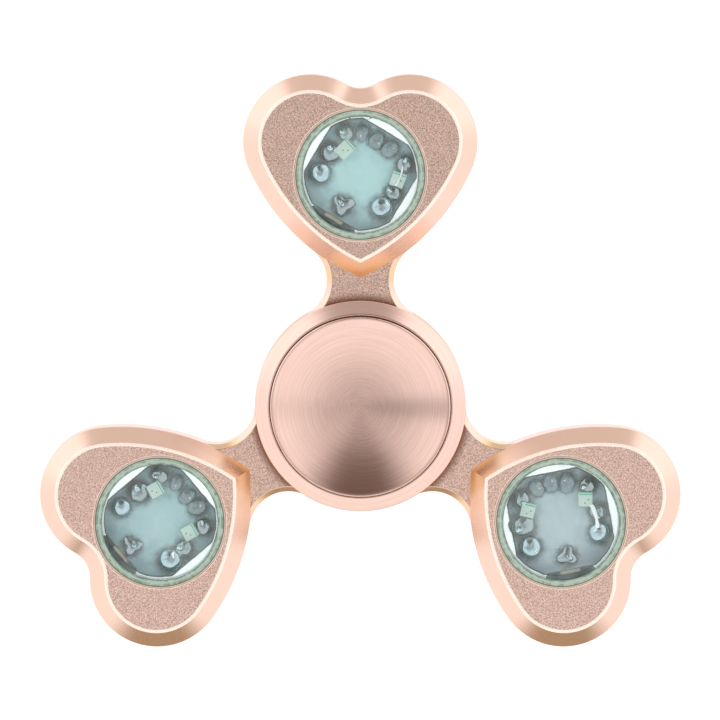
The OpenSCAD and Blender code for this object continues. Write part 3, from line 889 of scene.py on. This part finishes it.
def moulding_mark():
    """The lens-shaped mark that the moulding gate left on the first capsule's rim."""
    bm = bmesh.new()
    place = Vector((0, ARM_REACH + 6.85, MID + FACE - 0.01))
    long, narrow, steps = 1.25, 0.26, 48
    rings = []
    for scale, up in ((1.12, 0), (1.1, 0.05), (0.96, 0.05), (0.94, 0)):
        ring = []
        for i in range(steps):
            a = 2 * math.pi * i / steps
            along = long * scale * math.cos(a)
            across = narrow * scale * math.sin(a) * (1.3 - 0.3 * scale)
            ring.append(bm.verts.new(place + Vector((along, across, up))))
        rings.append(ring)
    for a, b in zip(rings, rings[1:] + rings[:1]):
        bridge(bm, a, b)
    make_piece("moulding_mark_top", bm, [MOULD_LINE], "spinner")


# ---------------------------------------------------------------- build the object

spinner_body()
cap("dished_front_cap", "front_cap", 1)
cap("dished_rear_cap", "rear_cap", -1)
for number, arm_name in enumerate(ARMS):
    arm_joints = joint_places(number + 1)
    board(arm_name, number + 1, arm_joints)
    sleeve(arm_name, number + 1)
    solder(arm_name, number + 1, arm_joints)
    leds(arm_name)
moulding_mark()

FINISH = {"outer_race": STEEL, "inner_race": STEEL, "ball_cage": NYLON, "front_shield": SHIELD_STEEL,
          "rear_shield": SHIELD_STEEL, "capsule_lens": LENS, "controller_chip": EPOXY,
          "coin_cell": CELL_STEEL, "positive_contact": CONTACT, "negative_contact": CONTACT,
          "cell_carrier": WHITE, "snap_dome": STEEL, "push_button": BUTTON}
CASES = {arm_name: case_plastic(arm_name) for arm_name in ARMS}


def finish_for(node):
    if node.startswith("ball_") and node[5:].isdigit():
        return STEEL
    if node.startswith("capsule_case_"):
        return CASES[node.rsplit("_", 1)[1]]
    return FINISH.get(node) or FINISH.get(node.rsplit("_", 1)[0]) or WHITE


for node_name, node_object in nodes.items():
    node_object.data.materials.clear()
    node_object.data.materials.append(finish_for(node_name))

for arm_name in ARMS:
    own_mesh(nodes["snap_dome_" + arm_name])


# ---------------------------------------------------------------- stage, light and camera

def pale_surface(name, glow):
    """A pale, evenly lit surface that is clear from behind, so that the floor doesn't hide the underside."""
    g = Graph(name)
    g.set(colour=(0.5, 0.5, 0.5), rough=0.9, glow=glow, glow_colour=(1.0, 1.0, 1.0),
          alpha=g.math("SUBTRACT", 1.0, g.node("NewGeometry").outputs["Backfacing"]))
    return g.material


def floor():
    """A pale floor under a pale dome. The metal mirrors the light tent past both."""
    grid = bmesh.new()
    bmesh.ops.create_grid(grid, x_segments=8, y_segments=8, size=0.7)
    dome_mesh = bmesh.new()
    bmesh.ops.create_icosphere(dome_mesh, subdivisions=4, radius=3.0)
    bmesh.ops.reverse_faces(dome_mesh, faces=dome_mesh.faces)
    for name, bm, glow in (("pale_floor", grid, 0.72), ("pale_dome", dome_mesh, 1.0)):
        mesh = bpy.data.meshes.new(name)
        bm.to_mesh(mesh)
        bm.free()
        mesh.materials.append(pale_surface(name, glow))
        obj = bpy.data.objects.new(name, mesh)
        bpy.context.scene.collection.objects.link(obj)
        obj.location.z = -0.02 * MM
        obj.visible_glossy = False
        obj.visible_shadow = name == "pale_floor"
        obj.visible_diffuse = name == "pale_floor"


# What the light tent shows in each direction.
OPENING_LOW = (0.82, 0.76, 0.71)
OPENING_HIGH = (0.15, 0.105, 0.09)
SIDE_WALL = (1.31, 1.28, 1.27)
FAR_WALL = (1.10, 1.07, 1.06)
UPPER_WALL = (1.12, 1.10, 1.09)
ROOF = (0.72, 0.69, 0.68)
OVERHEAD = (0.64, 0.61, 0.60)
SEAM = (0.05, 0.04, 0.04)
WARM_GROUND = (0.41, 0.31, 0.185)
UNDERNEATH = (1.05, 1.04, 1.04)


def studio():
    """A soft tent of light, whose colour depends on the direction (x, y, z): a darker opening on the +Y side
    that reaches overhead, a grey roof with a dark seam, and a low warm dark stretch on the -Y side."""
    world = bpy.data.worlds.new("light_tent")
    bpy.context.scene.world = world
    world.use_nodes = True
    t = NodeTree(world.node_tree)

    def product(a, b):
        return t.math("MULTIPLY", a, b)

    parts = t.node("SeparateXYZ")
    t.link(t.node("TexCoord").outputs["Generated"], parts.inputs[0])
    x, y, z = parts.outputs
    off_opening = t.math("ABSOLUTE", t.math("ARCTAN2", x, y))

    high = t.span(z, 0.6, 0.9)
    low_side = product(t.span(off_opening, 0.3, 0.58), t.math("SUBTRACT", 1.0, high))
    high_side = product(t.span(off_opening, 0.3, 1.0), high)
    opening = t.mix(t.span(z, -0.1, 0.9), OPENING_LOW, OPENING_HIGH)
    behind = t.mix(t.span(off_opening, 1.15, 1.6), SIDE_WALL, FAR_WALL)
    walls = t.mix(t.span(z, 0.15, 1.0), behind, UPPER_WALL)
    roof_height = t.math("ADD", z, product(y, 0.06))
    roofed = t.mix(t.span(roof_height, 0.955, 0.99), walls, ROOF)
    tent = t.mix(t.math("ADD", high_side, low_side), opening, roofed)

    low_stretch = product(t.span(off_opening, 2.3, 2.8), t.span(z, 0.2, 0.04))
    warmed = t.mix(product(low_stretch, t.span(z, -0.5, -0.2)), tent, WARM_GROUND)
    leaning = t.math("SUBTRACT", z, product(y, 0.085))
    covered = t.mix(t.span(leaning, 0.966, 1.005), warmed, OVERHEAD)

    off_seam = t.math("ABSOLUTE", t.math("ADD", y, 0.058))
    along_seam = product(t.span(x, 0.08, -0.1, 0.15, 0.5), t.span(z, 0.8, 0.9))
    seamed = t.mix(product(t.span(off_seam, 0.075, 0.015), along_seam), covered, SEAM)
    shown = t.mix(t.span(z, -0.5, -0.2), UNDERNEATH, seamed)
    t.link(shown, t.tree.nodes["Background"].inputs["Color"])


def area_light(name, place, size, power):
    data = bpy.data.lights.new(name, "AREA")
    data.shape = "RECTANGLE"
    data.size, data.size_y = size
    data.energy = power
    obj = bpy.data.objects.new(name, data)
    obj.location = place
    obj.rotation_euler = (Vector((0, 0, 0)) - Vector(place)).to_track_quat("-Z", "Y").to_euler()
    obj.visible_glossy = False
    bpy.context.scene.collection.objects.link(obj)


def camera():
    """Nearly straight down, leaning a little from the first arm's side."""
    wide = 86.85 * MM
    distance = 0.8
    lean = math.radians(3.3)
    aim = Vector((-0.04, 5.65, 9.9)) * MM
    data = bpy.data.cameras.new("camera")
    data.sensor_width = 36
    data.lens = 36 * distance / wide
    data.clip_start = 0.01
    obj = bpy.data.objects.new("camera", data)
    obj.location = aim + distance * Vector((0, math.sin(lean), math.cos(lean)))
    obj.rotation_euler = (-lean, 0, 0)
    bpy.context.scene.collection.objects.link(obj)
    bpy.context.scene.camera = obj


floor()
studio()
area_light("left_softbox", (-0.5, 0.2, 0.35), (0.4, 0.4), 1.2)
area_light("right_softbox", (0.5, 0.1, 0.35), (0.4, 0.4), 1.2)
camera()
bpy.context.scene.view_settings.view_transform = "Standard"
